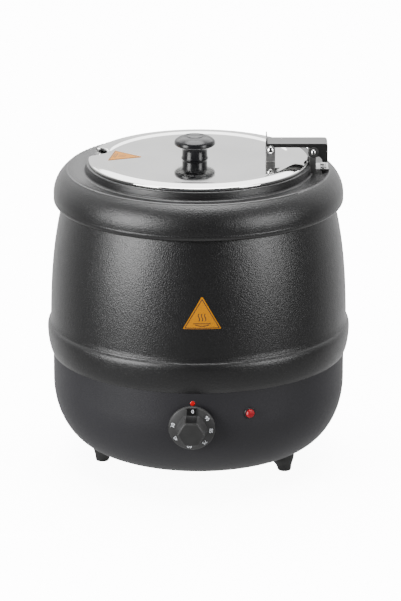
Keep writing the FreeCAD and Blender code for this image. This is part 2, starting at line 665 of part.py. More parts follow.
def make_electrics():
    deck = CHASSIS_Z + CHASSIS_SHEET
    block = slab(-48, -6, 96, 112, deck, deck + 11)
    for i in range(4):
        block = block.cut(rod(2.2, V(-42 + 10 * i, 103, deck + 6), V(-42 + 10 * i, 103, deck + 20)))
    add("terminal_block", block)
    at = V(52, 108, deck)
    stud = rod(2.5, at, at + UP * 13).fuse(prism(6, 5, at, at + UP * 3.5))
    add("earth_stud", stud)
    out = polar(1, 128, 0)
    face = out * (BATH_R + 0.1) + UP * 132
    add("thermal_cutout", rod(9.5, face, face + out * 9).fuse(rod(3.0, face + out * 9, face + out * 13)))
    clip = tube(11.2, 9.6, face + out * 4, face + out * 6)
    side = out.cross(UP)
    for way in (-1, 1):
        arm_at = face + side * (way * 15) + out * 4
        clip = clip.fuse(rod(2.0, face + side * (way * 10.8) + out * 5, arm_at + out))
        clip = clip.fuse(rod(2.4, arm_at + out * 2, arm_at - out * 3.4))
    add("cutout_clip", clip)
    probe = polar(BATH_R + 3.4, -112, 118)
    add("capillary_bulb", rod(3.2, probe, probe + UP * 74))
    clips = []
    for z in (134, 176):
        at = polar(BATH_R + 3.4, -112, z)
        clip = tube(4.4, 3.2, at, at + UP * 8)
        clips.append(clip.cut(rod(BATH_R + 0.05, V(0, 0, z - 1), V(0, 0, z + 9))))
    add("bulb_clips", group(clips))
    route = [probe, probe - UP * 6, polar(134, -106, 113), on_dial(-20, 0, 27), on_dial(-20, 0, 15)]
    add("capillary_tube", bent_tube(route, 0.9))


def make_gland():
    out = polar(1, GLAND_AT, 0)
    skin = surface_radius(GLAND_Z)
    base = out * skin + UP * GLAND_Z
    tip = -nodes["control_knob"].BoundBox.YMin     # it stands out as far as the dial does
    nose = Part.makeCone(9.0, 7.0, tip - skin - 9, out * (skin + 9) + UP * GLAND_Z, out)
    collar = prism(6, 12.5, out * (skin - 4) + UP * GLAND_Z, out * (skin + 9) + UP * GLAND_Z)
    body = collar.cut(BOWL_OUTSIDE).fuse(nose).fuse(rod(8.0, base - out * 22, base + out * 2))
    gland = body.removeSplitter().cut(rod(4.0, base - out * 40, base + out * 60))
    add("cord_gland", gland)
    nut = prism(6, 12.5, base - out * 16, base - out * 11).cut(rod(8.0, base - out * 30, base))
    add("gland_nut", nut)


def make_wires():
    deck = CHASSIS_Z + CHASSIS_SHEET
    wire_r = 1.3
    outlet_y = 112.6
    outlet_z = deck + 5.5
    element_a = polar(70, 308.0, BATH_FLOOR_Z - 30.2)
    element_b = polar(70, 2.0, BATH_FLOOR_Z - 30.2)
    live = [V(-40, outlet_y, outlet_z), V(-41, 121, 63.5), V(-78, 104, 66), V(-122, 50, 68), V(-130, -20, 68),
            V(-104, -85, 70), V(-52, -118, 73), on_dial(-36, 8, -6), on_dial(-27.1, 8, -6)]
    neutral = [element_b, element_b - UP * 7, V(80, 50, 62), V(56, 100, 62.5), V(20, 124, 61.5),
               V(-8, 127, 62.5), V(-12, outlet_y, outlet_z)]
    control = [element_a, element_a - UP * 7, V(60, -85, 62), V(30, -118, 66), on_dial(-38, -9, -6),
               on_dial(-27.1, -9, -6)]
    earth = [V(52, 108, deck + 13.6), V(51, 110, deck + 22), V(30, 120, 80), V(0, 128, 76), V(-21, 124, 66),
             V(-22, outlet_y, outlet_z)]
    for name, route in (("live_wire", live), ("neutral_wire", neutral), ("control_wire", control),
                        ("earth_wire", earth)):
        add(name, bent_tube(route, wire_r))


def build():
    make_bowl()
    make_jacket()
    make_collar()
    make_bottom_cover()
    make_feet()
    make_bath()
    make_pot()
    make_lid()
    make_lid_knob()
    make_lid_lug()
    make_arm()
    make_hinge_bracket()
    make_pins()
    make_dial()
    make_thermostat()
    make_lamp()
    make_index_mark()
    make_labels()
    make_heater()
    make_electrics()
    make_gland()
    make_wires()
    os.makedirs("parts", exist_ok=True)
    for name, shape in nodes.items():
        box = shape.BoundBox
        print(name, shape.isValid(), len(shape.Solids), round(shape.Volume),
              [round(v, 1) for v in (box.XMin, box.XMax, box.YMin, box.YMax, box.ZMin, box.ZMax)])
        shape.exportStep("parts/" + name + ".step")


build()
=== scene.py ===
"""Soup kettle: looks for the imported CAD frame.  Metres, +Z up, dial towards -Y, lid hinge at +X."""
import json
import math

import bmesh
import bpy
from mathutils import Matrix, Vector


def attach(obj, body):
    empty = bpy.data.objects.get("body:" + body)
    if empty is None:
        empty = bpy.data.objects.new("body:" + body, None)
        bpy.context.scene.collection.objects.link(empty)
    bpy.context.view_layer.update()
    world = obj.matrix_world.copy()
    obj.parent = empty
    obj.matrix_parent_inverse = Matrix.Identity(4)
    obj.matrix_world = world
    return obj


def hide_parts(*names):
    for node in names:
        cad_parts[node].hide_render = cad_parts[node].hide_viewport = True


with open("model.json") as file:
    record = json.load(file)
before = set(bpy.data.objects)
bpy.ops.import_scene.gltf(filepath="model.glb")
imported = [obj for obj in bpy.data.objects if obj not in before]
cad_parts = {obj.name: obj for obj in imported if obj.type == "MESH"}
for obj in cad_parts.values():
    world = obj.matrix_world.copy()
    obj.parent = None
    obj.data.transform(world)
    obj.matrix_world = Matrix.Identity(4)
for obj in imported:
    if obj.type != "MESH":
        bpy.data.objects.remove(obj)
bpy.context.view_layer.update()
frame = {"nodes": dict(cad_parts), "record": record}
NODES = frame["nodes"]
JOINTS = {j["name"]: j for j in frame["record"]["behaviour"]["joints"]}
MM = 0.001
TURNS = 256                # segments round the big shells
UP = Vector((0, 0, 1))


# ---- node helpers ----------------------------------------------------------------
class Shader:
    """One procedural material, built from small named steps in object space."""

    def __init__(self, name, **sockets):
        self.material = bpy.data.materials.new(name)
        self.material.use_nodes = True
        self.tree = self.material.node_tree
        self.surface = self.tree.nodes["Principled BSDF"]
        self.place = self.node("ShaderNodeTexCoord").outputs["Object"]
        for key, value in sockets.items():
            self.set(self.surface, key.replace("_", " "), value)

    def set(self, node, key, value):
        socket = node.inputs[key]
        if isinstance(value, bpy.types.NodeSocket):
            self.tree.links.new(value, socket)
        elif socket.type == "RGBA":
            socket.default_value = (*value, 1.0)
        else:
            socket.default_value = value

    def node(self, kind, settings=None, **sockets):
        node = self.tree.nodes.new(kind)
        for key, value in (settings or {}).items():
            setattr(node, key, value)
        for key, value in sockets.items():
            self.set(node, key.replace("_", " "), value)
        return node

    def stretched(self, scale):
        return self.node("ShaderNodeMapping", Vector=self.place, Scale=scale).outputs["Vector"]

    def noise(self, scale, detail=2.0, rough=0.5, where=None):
        return self.node("ShaderNodeTexNoise", Vector=where or self.place, Scale=scale, Detail=detail,
                         Roughness=rough).outputs["Fac"]

    def cells(self, scale, smooth=0.6):
        return self.node("ShaderNodeTexVoronoi", {"feature": "SMOOTH_F1"}, Vector=self.place,
                         Scale=scale, Smoothness=smooth).outputs["Distance"]

    def remap(self, value, low, high, from_low=0.0, from_high=1.0):
        node = self.node("ShaderNodeMapRange", Value=value)
        node.inputs["From Min"].default_value = from_low
        node.inputs["From Max"].default_value = from_high
        node.inputs["To Min"].default_value = low
        node.inputs["To Max"].default_value = high
        return node.outputs["Result"]

    def add(self, a, b, weight=1.0):
        scaled = self.node("ShaderNodeMath", {"operation": "MULTIPLY"})
        self.tree.links.new(b, scaled.inputs[0])
        scaled.inputs[1].default_value = weight
        total = self.node("ShaderNodeMath", {"operation": "ADD"})
        self.tree.links.new(a, total.inputs[0])
        self.tree.links.new(scaled.outputs[0], total.inputs[1])
        return total.outputs[0]

    def mix(self, factor, first, second):
        node = self.node("ShaderNodeMix", {"data_type": "RGBA"})
        self.tree.links.new(factor, node.inputs["Factor"])
        node.inputs[6].default_value = (*first, 1.0)
        node.inputs[7].default_value = (*second, 1.0)
        return node.outputs[2]

    def color(self, factor, first, second):
        self.set(self.surface, "Base Color", self.mix(factor, first, second))
        return self

    def roughness(self, factor, low, high):
        self.set(self.surface, "Roughness", self.remap(factor, low, high))
        return self

    def bump(self, height, distance, strength=1.0, edge=0.0):
        """Relief of this depth in metres; an edge radius also rounds the piece's sharp edges."""
        node = self.node("ShaderNodeBump", Height=height, Distance=distance, Strength=strength)
        if edge:
            worn = self.node("ShaderNodeBevel", {"samples": 6}, Radius=edge)
            self.set(node, "Normal", worn.outputs["Normal"])
        self.set(self.surface, "Normal", node.outputs["Normal"])
        return self


# ---- materials -------------------------------------------------------------------
def hammered_paint(name):
    """Black powder coat with the pebbled, wrinkled skin of a hammer finish."""
    s = Shader(name, Specular_IOR_Level=0.45)
    pebble = s.noise(820, 3, 0.6)
    dimple = s.cells(700, 0.5)
    height = s.add(pebble, dimple, 0.6)
    s.color(s.remap(pebble, 0, 1, 0.35, 0.7), (0.004, 0.004, 0.0042), (0.009, 0.009, 0.0094))
    s.roughness(s.noise(60, 3), 0.31, 0.37)
    return s.bump(height, 0.00027, 0.9).material


def satin_paint(name):
    """Dark grey satin powder coat with a very fine orange peel."""
    s = Shader(name, Specular_IOR_Level=0.3)
    cloud = s.noise(9, 4)
    peel = s.noise(850, 2)
    s.color(s.remap(cloud, 0, 1, 0.3, 0.7), (0.0120, 0.0117, 0.0138), (0.0165, 0.0161, 0.0188))
    s.roughness(s.noise(35, 3), 0.50, 0.58)
    return s.bump(peel, 0.00026, 0.8).material


def polished_steel(name):
    """Mirror-polished pressing with faint polishing rings and handling marks."""
    s = Shader(name, Metallic=1.0)
    haze = s.noise(14, 4)
    fine = s.noise(1500, 2, where=s.stretched((1, 1, 0.05)))
    s.color(s.remap(haze, 0, 1, 0.3, 0.7), (0.70, 0.70, 0.69), (0.78, 0.78, 0.77))
    s.roughness(s.remap(haze, 0, 1, 0.35, 0.75), 0.05, 0.11)
    return s.bump(fine, 0.000008, 0.4).material


def brushed_steel(name, tone=0.42, scale=(30, 1600, 1600)):
    """Stainless sheet with grain along X and softly broken edges."""
    s = Shader(name, Metallic=1.0)
    grain = s.noise(1.0, 4, 0.65, where=s.stretched(scale))
    s.color(s.remap(grain, 0, 1, 0.3, 0.7), (tone * 0.84,) * 3, (tone * 1.1,) * 3)
    s.roughness(grain, 0.22, 0.42)
    return s.bump(grain, 0.00004, 0.35, edge=0.0004).material


def vessel_steel(name):
    """Spun stainless vessel wall: rings round the axis and a soft sheen."""
    s = Shader(name, Metallic=1.0)
    rings = s.noise(1.0, 4, 0.6, where=s.stretched((40, 40, 900)))
    s.color(s.remap(rings, 0, 1, 0.3, 0.7), (0.50, 0.50, 0.49), (0.64, 0.64, 0.62))
    s.roughness(rings, 0.20, 0.36)
    return s.bump(rings, 0.00005, 0.3).material


def plated_steel(name, tone=(0.52, 0.52, 0.50)):
    """Plated or rolled sheet metal with a faint spangle."""
    s = Shader(name, Metallic=1.0)
    spangle = s.cells(160, 0.2)
    dark = tuple(0.75 * c for c in tone)
    s.color(s.remap(spangle, 0, 1, 0.0, 0.8), dark, tone)
    s.roughness(spangle, 0.28, 0.5)
    return s.bump(s.noise(700, 2), 0.00003, 0.4, edge=0.0002).material


def gloss_black(name, rough=0.10):
    """Moulded phenolic: deep gloss with a trace of flow and dust-fine wear."""
    s = Shader(name, Specular_IOR_Level=0.3)
    flow = s.noise(40, 3)
    s.color(s.remap(flow, 0, 1, 0.35, 0.65), (0.006, 0.006, 0.007), (0.011, 0.011, 0.012))
    s.roughness(flow, rough, rough + 0.08)
    return s.bump(s.noise(260, 2), 0.00004, 0.3).material


def satin_black(name, tone=0.018, rough=0.34, grain=1500, depth=0.00004):
    """Dull black plastic, rubber or ink."""
    s = Shader(name, Specular_IOR_Level=0.35)
    cloud = s.noise(50, 3)
    s.color(s.remap(cloud, 0, 1, 0.3, 0.7), (tone * 0.8,) * 3, (tone * 1.25,) * 3)
    s.roughness(cloud, rough, rough + 0.14)
    return s.bump(s.noise(grain, 2), depth, 0.6).material


def plain_tint(name, dark, light, rough=0.35, scale=60, metal=0.0, bump=0.00004):
    """Small part of one colour that clouds softly between two tones."""
    s = Shader(name, Metallic=metal)
    cloud = s.noise(scale, 3)
    s.color(s.remap(cloud, 0, 1, 0.3, 0.7), dark, light)
    s.roughness(cloud, rough, rough + 0.15)
    return s.bump(s.noise(800, 2), bump, 0.5).material


def red_lens(name):
    """Moulded red lens of the pilot lamp."""
    s = Shader(name, IOR=1.49, Specular_IOR_Level=0.4)
    depth = s.noise(220, 2)
    s.color(s.remap(depth, 0, 1, 0.35, 0.65), (0.22, 0.0, 0.004), (0.33, 0.001, 0.008))
    s.roughness(depth, 0.30, 0.42)
    return s.bump(depth, 0.00005, 0.3).material


def label_film(name, dark, light):
    """Printed film with a fine grain."""
    s = Shader(name, Specular_IOR_Level=0.1)
    print_grain = s.noise(900, 3, 0.7)
    s.color(s.remap(print_grain, 0, 1, 0.3, 0.7), dark, light)
    s.roughness(s.noise(70, 3), 0.4, 0.55)
    return s.bump(s.noise(500, 2), 0.00003, 0.5).material


FINISH = {
    "painted_hammered": hammered_paint("hammered_black"),
    "painted_satin": satin_paint("satin_dark_grey"),
    "stainless_polished": polished_steel("polished_stainless"),
    "stainless_brushed": brushed_steel("brushed_stainless"),
    "stainless_vessel": vessel_steel("spun_stainless"),
    "zinc_steel": plated_steel("zinc_plate"),
    "aluminium": plated_steel("rolled_aluminium", (0.72, 0.72, 0.73)),
    "knob_black": gloss_black("phenolic_gloss", 0.2),
    "dial_black": satin_black("dial_plastic", 0.026, 0.38),
    "lamp_black": gloss_black("lamp_bezel_black", 0.34),
    "lamp_red": red_lens("lamp_lens_red"),
    "mark_red": plain_tint("index_red", (0.40, 0.001, 0.004), (0.52, 0.003, 0.008), 0.15),
    "label_amber": label_film("label_amber", (0.36, 0.132, 0.0), (0.43, 0.162, 0.0)),
    "rubber_black": satin_black("foot_rubber", 0.012, 0.55, 600, 0.0001),
    "nylon_black": satin_black("gland_nylon", 0.02, 0.42),
    "silicone": plain_tint("silicone_red", (0.35, 0.05, 0.04), (0.42, 0.08, 0.06), 0.5),
    "plastic_white": plain_tint("natural_nylon", (0.68, 0.66, 0.60), (0.78, 0.76, 0.70), 0.45),
    "ceramic_tan": plain_tint("phenolic_tan", (0.20, 0.12, 0.07), (0.28, 0.18, 0.11), 0.4),
    "copper": plain_tint("bare_copper", (0.62, 0.30, 0.18), (0.75, 0.42, 0.28), 0.25, metal=1.0),
    "element_steel": plain_tint("oxidised_alloy", (0.10, 0.10, 0.09), (0.2, 0.19, 0.17), 0.4, metal=1.0),
    "wire_brown": plain_tint("wire_brown", (0.16, 0.07, 0.03), (0.2, 0.09, 0.04), 0.4),
    "wire_blue": plain_tint("wire_blue", (0.03, 0.09, 0.32), (0.04, 0.12, 0.4), 0.4),
    "wire_green": plain_tint("wire_green", (0.10, 0.32, 0.06), (0.5, 0.5, 0.04), 0.4, scale=300),
    "wire_black": plain_tint("wire_black", (0.015, 0.015, 0.015), (0.025, 0.025, 0.025), 0.4),
}
LABEL_INK = satin_black("label_ink", 0.012, 0.5)
DIAL_INK = plain_tint("dial_numbers", (0.70, 0.72, 0.76), (0.82, 0.84, 0.88), 0.4)
DIAL_WEDGE = satin_black("dial_wedge", 0.004, 0.25)
HUB_FACE = satin_black("dial_hub_face", 0.016, 0.5)
DARK_BRUSHED = brushed_steel("dark_brushed_stainless", 0.085)
for part in frame["record"]["subparts"]:
    shown = NODES[part["node"]]
    shown.data.materials.clear()
    shown.data.materials.append(FINISH[part["material_slot"]])
NODES["lid_arm"].data.materials[0] = DARK_BRUSHED


# ---- building pieces -------------------------------------------------------------
def piece(name, verts, faces, body, slot, material=None, sharp=35, stands_for=(), place=None):
    """Mesh piece from points in millimetres, riding a body and standing for CAD nodes."""
    mesh = bpy.data.meshes.new(name)
    mesh.from_pydata([Vector(v) * MM for v in verts], [], faces)
    if place:
        mesh.transform(place)
    work = bmesh.new()
    work.from_mesh(mesh)
    bmesh.ops.remove_doubles(work, verts=work.verts, dist=1e-7)
    bmesh.ops.recalc_face_normals(work, faces=work.faces)
    work.to_mesh(mesh)
    work.free()
    mesh.polygons.foreach_set("use_smooth", [True] * len(mesh.polygons))
    mesh.set_sharp_from_angle(angle=math.radians(sharp))
    mesh.materials.append(material or FINISH[slot])
    made = bpy.data.objects.new(name, mesh)
    bpy.context.collection.objects.link(made)
    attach(made, body)
    if stands_for:
        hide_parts(*stands_for)
    return made


def rounded(corners, steps=6):
    """(r, z) outline from (r, z, fillet) corners, each fillet drawn as a smooth bend."""
    out = []
    for i, corner in enumerate(corners):
        here = Vector(corner[:2])
        fillet = corner[2] if len(corner) > 2 else 0
        if fillet <= 0 or i in (0, len(corners) - 1):
            out.append(here)
            continue
        before = Vector(corners[i - 1][:2]) - here
        after = Vector(corners[i + 1][:2]) - here
        enter = here + before.normalized() * min(fillet, 0.48 * before.length)
        leave = here + after.normalized() * min(fillet, 0.48 * after.length)
        for k in range(steps + 1):
            t = k / steps
            out.append(enter * (1 - t) ** 2 + here * 2 * t * (1 - t) + leave * t ** 2)
    return [(v[0], v[1]) for v in out]


def lathe(name, outline, body, slot, turns=128, **more):
    """Turned piece from an (r, z) outline in millimetres; ends on the axis are closed by a fan."""
    verts = []
    faces = []
    count = len(outline)
    for k in range(turns):
        a = 2 * math.pi * k / turns
        verts += [(r * math.cos(a), r * math.sin(a), z) for r, z in outline]
    for k in range(turns):
        near = k * count
        far = ((k + 1) % turns) * count
        for i in range(count - 1):
            quad = [near + i, near + i + 1, far + i + 1, far + i]
            if outline[i][0] < 1e-6:
                quad = [near + i, near + i + 1, far + i + 1]
            elif outline[i + 1][0] < 1e-6:
                quad = [near + i, near + i + 1, far + i]
            faces.append(quad)
    return piece(name, verts, faces, body, slot, **more)


def layers(name, rings, body, slot, **more):
    """Skin over stacked rings of points, closed by a face at each end."""
    count = len(rings[0])
    verts = [v for ring in rings for v in ring]
    faces = [list(range(count))[::-1], [count * (len(rings) - 1) + i for i in range(count)]]
    for k in range(len(rings) - 1):
        for i in range(count):
            j = (i + 1) % count
            faces.append([k * count + i, k * count + j, (k + 1) * count + j, (k + 1) * count + i])
    return piece(name, verts, faces, body, slot, **more)


# ---- lid ---------------------------------------------------------------------------
LID_R = 122.3
LID_DISC_R = 101           # flat middle of the lid
LID_STEP_R = 104.5         # the small step round it ends here
LID_STEP = 1.15
LID_TOP = 349.0
LID_SEAT = 345.3           # underside of the lid's rim
LID_SHEET = 1.2
LID_EDGE_R = 2.0           # bend from the top into the rim
NOTCH_R = 18.0             # ladle notch
NOTCH_AT = math.radians(168.5)
NOTCH_OUT = 123.0          # the notch's centre is this far from the axis
NOTCH_SPREAD = 0.3         # half the angle, in radians, that the notch can reach
NOTCH_SOFT = 1.4           # rounds the notch's two corners
NOTCH_HEM = 1.4            # the rim is this much shallower in the notch, clear of the lifted pot


def lid_height(r):
    """Top of the lid: a flat disc, a small step and a crowned band falling to the rim."""
    if r <= LID_DISC_R:
        return LID_TOP
    if r <= LID_STEP_R:
        t = (r - LID_DISC_R) / (LID_STEP_R - LID_DISC_R)
        return LID_TOP + LID_STEP * t * t * (3 - 2 * t)
    t = (r - LID_STEP_R) / (LID_R - LID_STEP_R)
    return LID_TOP + LID_STEP + 3.2 * t * math.exp(-3.2 * t) - 1.9 * t * t


def lid_reach(angle):
    """How far the lid goes out at this angle: to its rim, or to the edge of the ladle notch."""
    off = (angle - NOTCH_AT + math.pi) % (2 * math.pi) - math.pi
    inside = NOTCH_R ** 2 - (NOTCH_OUT * math.sin(off)) ** 2
    if inside <= 0 or abs(off) > NOTCH_SPREAD:
        return LID_R
    edge = NOTCH_OUT * math.cos(off) - math.sqrt(inside)
    h = max(0.0, min(1.0, 0.5 + 0.5 * (edge - LID_R) / NOTCH_SOFT))
    return edge * (1 - h) + LID_R * h - NOTCH_SOFT * h * (1 - h)


def lid_column(angle):
    """Closed section of the lid's sheet at this angle, from the axis out to the rim and back."""
    reach = lid_reach(angle)
    turn_r = reach - LID_EDGE_R
    disc = [(r * min(1, turn_r / 102), lid_height(r)) for r in (0.0, 4, 20, 45, 70, 90, 99, LID_DISC_R)]
    crown = [LID_DISC_R + (turn_r - LID_DISC_R) * k / 14 for k in range(1, 15)]
    fall = lid_height(turn_r)
    hem = LID_SEAT + NOTCH_HEM * min(1.0, (LID_R - reach) / 4)
    top = disc + [(r, lid_height(r)) for r in crown]
    for k in range(1, 7):
        bend = math.pi / 2 * k / 6
        top.append((turn_r + LID_EDGE_R * math.sin(bend), fall - 1.5 * (1 - math.cos(bend))))
    top.append((reach, hem + 0.35))
    top.append((reach - 0.3, hem))
    inner = [(reach - LID_SHEET, hem), (reach - LID_SHEET, fall - 2.2), (reach - 2.4, fall - 1.5)]
    under = [(r - 1.3, z - LID_SHEET) for r, z in reversed(top[7:-8])]
    bottom = [(r, z - LID_SHEET) for r, z in reversed(top[:7])]
    return [(r * math.cos(angle), r * math.sin(angle), z) for r, z in top + inner + under + bottom]


def make_lid():
    """Even columns all round, with finer ones across the notch."""
    angles = [2 * math.pi * k / 300 for k in range(300)]
    angles += [NOTCH_AT + math.radians(0.2 * k) for k in range(-55, 56)]
    columns = [lid_column(a) for a in sorted(a % (2 * math.pi) for a in angles)]
    count = len(columns[0])
    verts = [v for column in columns for v in column]
    faces = []
    for k in range(len(columns)):
        near = k * count
        far = ((k + 1) % len(columns)) * count
        for i in range(count - 1):
            faces.append([near + i, near + i + 1, far + i + 1, far + i])
    piece("lid_pressing", verts, faces, "lid", "stainless_polished", sharp=50, stands_for=["lid"])


KNOB_AT = -4.1             # the knob stands a little off the lid's middle


def make_knob():
    z = LID_TOP
    outline = rounded([(0, z + 2, 0), (2.7, z + 2, 0), (2.7, z, 0), (15.2, z, 0.6), (14.1, z + 2.2, 1.4),
                       (13.9, z + 9, 3), (14.8, z + 12.6, 1.6), (20.6, z + 14.0, 2.4), (22.9, z + 16.0, 1.4),
                       (22.7, z + 20.2, 2.4), (17.2, z + 23.9, 4.5), (11.6, z + 25.3, 1.0),
                       (10.6, z + 24.4, 0.5), (9.2, z + 24.4, 0.5), (8.4, z + 25.3, 0.7), (4, z + 25.9, 2),
                       (0, z + 26.0, 0)], 8)
    lathe("lid_grip", outline, "lid", "knob_black", turns=160, stands_for=["lid_knob"],
          place=Matrix.Translation((KNOB_AT * MM, 0, 0)))


# ---- dial --------------------------------------------------------------------------
turn = JOINTS["dial_turn"]
DIAL_OUT = -Vector(turn["axis"]).normalized()
DIAL_SIDE = DIAL_OUT.cross(UP).normalized() * -1
DIAL_TALL = DIAL_OUT.cross(DIAL_SIDE).normalized()
DIAL_AXES = Matrix((DIAL_SIDE, DIAL_TALL, DIAL_OUT)).transposed().to_4x4()
DIAL_PLACE = Matrix.Translation(Vector(turn["pos_m"])) @ DIAL_AXES
SKIRT_FRONT = 7.0          # height of the skirt's face at 20 mm from the dial's axis
SKIRT_SLOPE = math.radians(19)
HUB_FRONT = 24.0
WEDGE_HALF = 6.0           # half the width of the dark pointer
NUMBER_R = 21.0            # the numbers stand on this circle


def skirt_height(r):
    """The skirt's face is a shallow cone round the hub."""
    return SKIRT_FRONT + (20.0 - r) * math.tan(SKIRT_SLOPE)


def hub_ring(apothem, soft, height, count=144):
    """Six-sided ring with rounded corners, in the dial's own axes."""
    ring = []
    for k in range(count):
        a = 2 * math.pi * k / count
        off = (a + math.pi / 6) % (math.pi / 3) - math.pi / 6
        flat = apothem / math.cos(off)
        r = flat * (1 - soft) + apothem * 1.05 * soft
        ring.append((r * math.sin(a), r * math.cos(a), height))
    return ring


def make_dial():
    skirt = rounded([(0, skirt_height(10), 0), (10, skirt_height(10), 0), (25.2, skirt_height(25.2), 0.9),
                     (25.95, 3.0, 0.5), (25.4, 2.4, 0), (23.6, 2.4, 0), (23.2, 3.6, 0.4), (3.1, 3.6, 0)], 4)
    lathe("dial_skirt", skirt, "dial", "dial_black", turns=160, place=DIAL_PLACE,
          stands_for=["control_knob"])
    rings = []
    for t in (0.0, 0.12, 0.26, 0.42, 0.6, 0.78, 0.9, 0.96):
        flare = (1 - t) ** 2.2
        height = SKIRT_FRONT - 0.2 + (HUB_FRONT - SKIRT_FRONT - 0.3) * t
        rings.append(hub_ring(13.1 + 3.6 * flare, 0.12 + 0.5 * flare, height))
    rings.append(hub_ring(12.9, 0.14, HUB_FRONT - 0.45))
    rings.append(hub_ring(12.4, 0.16, HUB_FRONT - 0.08))
    rings.append(hub_ring(11.6, 0.18, HUB_FRONT))
    layers("dial_hub", rings, "dial", "dial_black", sharp=28, place=DIAL_PLACE)
    face = [hub_ring(11.5, 0.18, HUB_FRONT - 0.3), hub_ring(11.5, 0.18, HUB_FRONT + 0.02)]
    layers("dial_hub_face", face, "dial", "dial_black", material=HUB_FACE, place=DIAL_PLACE)
    wedge = []
    for x in (-WEDGE_HALF, WEDGE_HALF):
        wedge += [(x, 11.0, SKIRT_FRONT - 1.5), (x, 24.6, 4.2), (x, 24.4, skirt_height(24.4) + 0.7),
                  (x, 16.5, skirt_height(16.5) + 1.0), (x, 13.7, HUB_FRONT - 0.8),
                  (x, 11.0, HUB_FRONT - 0.15)]
    sides = [[0, 1, 2, 3, 4, 5], [11, 10, 9, 8, 7, 6]]
    faces = sides + [[i, i + 6, (i + 1) % 6 + 6, (i + 1) % 6] for i in range(6)]
    made = piece("dial_wedge", wedge, faces, "dial", "dial_black", material=DIAL_WEDGE, place=DIAL_PLACE)
    soften(made, 0.35)


def soften(made, width, segments=3):
    bevel = made.modifiers.new("soft_edges", "BEVEL")
    bevel.width = width * MM
    bevel.segments = segments
    bevel.limit_method = "ANGLE"


# what is written, where on the clock in degrees, and how far it stands off the skirt
DIAL_NUMBERS = (("0", 3, 0.95), ("95", 53, 0.1), ("85", 95, 0.1), ("75", 138, 0.1), ("60", 187, 0.1),
                ("45", 237, 0.1), ("30", 281, 0.1))


def make_dial_numbers():
    for word, clock, raised in DIAL_NUMBERS:
        data = bpy.data.curves.new("dial_number_" + word, "FONT")
        data.body = word
        data.size = 5.6 * MM
        data.extrude = 0.06 * MM
        data.align_x = "CENTER"
        data.align_y = "CENTER"
        data.materials.append(DIAL_INK)
        made = bpy.data.objects.new("dial_number_" + word, data)
        bpy.context.collection.objects.link(made)
        about = Matrix.Rotation(-math.radians(clock), 4, "Z")
        height = skirt_height(NUMBER_R) + raised
        tip = Matrix.Rotation(-SKIRT_SLOPE, 4, "X")
        made.matrix_world = DIAL_PLACE @ about @ Matrix.Translation((0, NUMBER_R * MM, height * MM)) @ tip
        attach(made, "dial")


# ---- lamp, index dot, labels -------------------------------------------------------
def outward(angle, radius, height):
    """Axes with Z pointing outwards from the kettle's wall and Y up."""
    a = math.radians(angle)
    out = Vector((math.cos(a), math.sin(a), 0))
    across = UP.cross(out).normalized()
    at = out * radius * MM + UP * height * MM
    return Matrix.Translation(at) @ Matrix((across, UP, out)).transposed().to_4x4()


BOWL_R = 163.8
LAMP_AT = (-70.0, BOWL_R, 102.0)        # angle, radius and height
INDEX_AT = (-92.2, BOWL_R, 116.3)


def make_lamp():
    """Ten-sided faceted lens in a plain bezel."""
    place = outward(*LAMP_AT)
    outline = rounded([(0, 1.0, 0), (5.0, 1.0, 0.3), (5.0, 2.9, 0.5), (3.5, 4.5, 0.5), (0, 4.75, 0)], 3)
    lathe("lamp_lens", outline, "base", "lamp_red", turns=10, sharp=20, place=place,
          stands_for=["pilot_lamp_lens"])
    ring = rounded([(5.05, 0.4, 0), (5.05, 1.7, 0.2), (5.5, 1.85, 0.3), (6.5, 0.9, 0.7),
                    (6.55, -0.15, 0)], 4)
    lathe("lamp_bezel", ring, "base", "lamp_black", turns=96, place=place)


def make_index_dot():
    """Low red dome over the dial."""
    steps = [math.pi / 2 * k / 10 for k in range(11)]
    outline = [(2.8 * math.sin(a), 0.6 * math.cos(a)) for a in steps]
    lathe("index_dot", outline + [(2.8, -0.15)], "base", "mark_red", turns=48, place=outward(*INDEX_AT),
          stands_for=["index_mark"])


JACKET_LABEL_SIDE = 42.0
JACKET_LABEL_AT = (4.0, 202.6)          # X and Z of the middle of its lower edge
LID_LABEL_SIDE = 40.0
LID_LABEL_AT = (-97.0, 9.0)             # X and Y of the middle of its lower edge
LID_LABEL_LEAN = math.radians(-100)


def jacket_radius(height):
    """Jacket's radius at this height, from the four points its barrel wall passes through."""
    known = ((166.0, 166.3), (210.0, 164.9), (250.6, 161.2), (299.0, 152.0))
    total = 0.0
    for i, (z, r) in enumerate(known):
        weight = 1.0
        for k, (other, _) in enumerate(known):
            if k != i:
                weight *= (height - other) / (z - other)
        total += r * weight
    return total


def on_jacket(x, z, lift):
    """Point on the front of the jacket, lifted off it by this much."""
    r = jacket_radius(z) + lift
    return (x, -math.sqrt(r * r - x * x), z)


def triangle_row(side, t):
    """Half width of the softly cornered triangle at height fraction t."""
    return max(0.9, side / 2 * (1 - t))


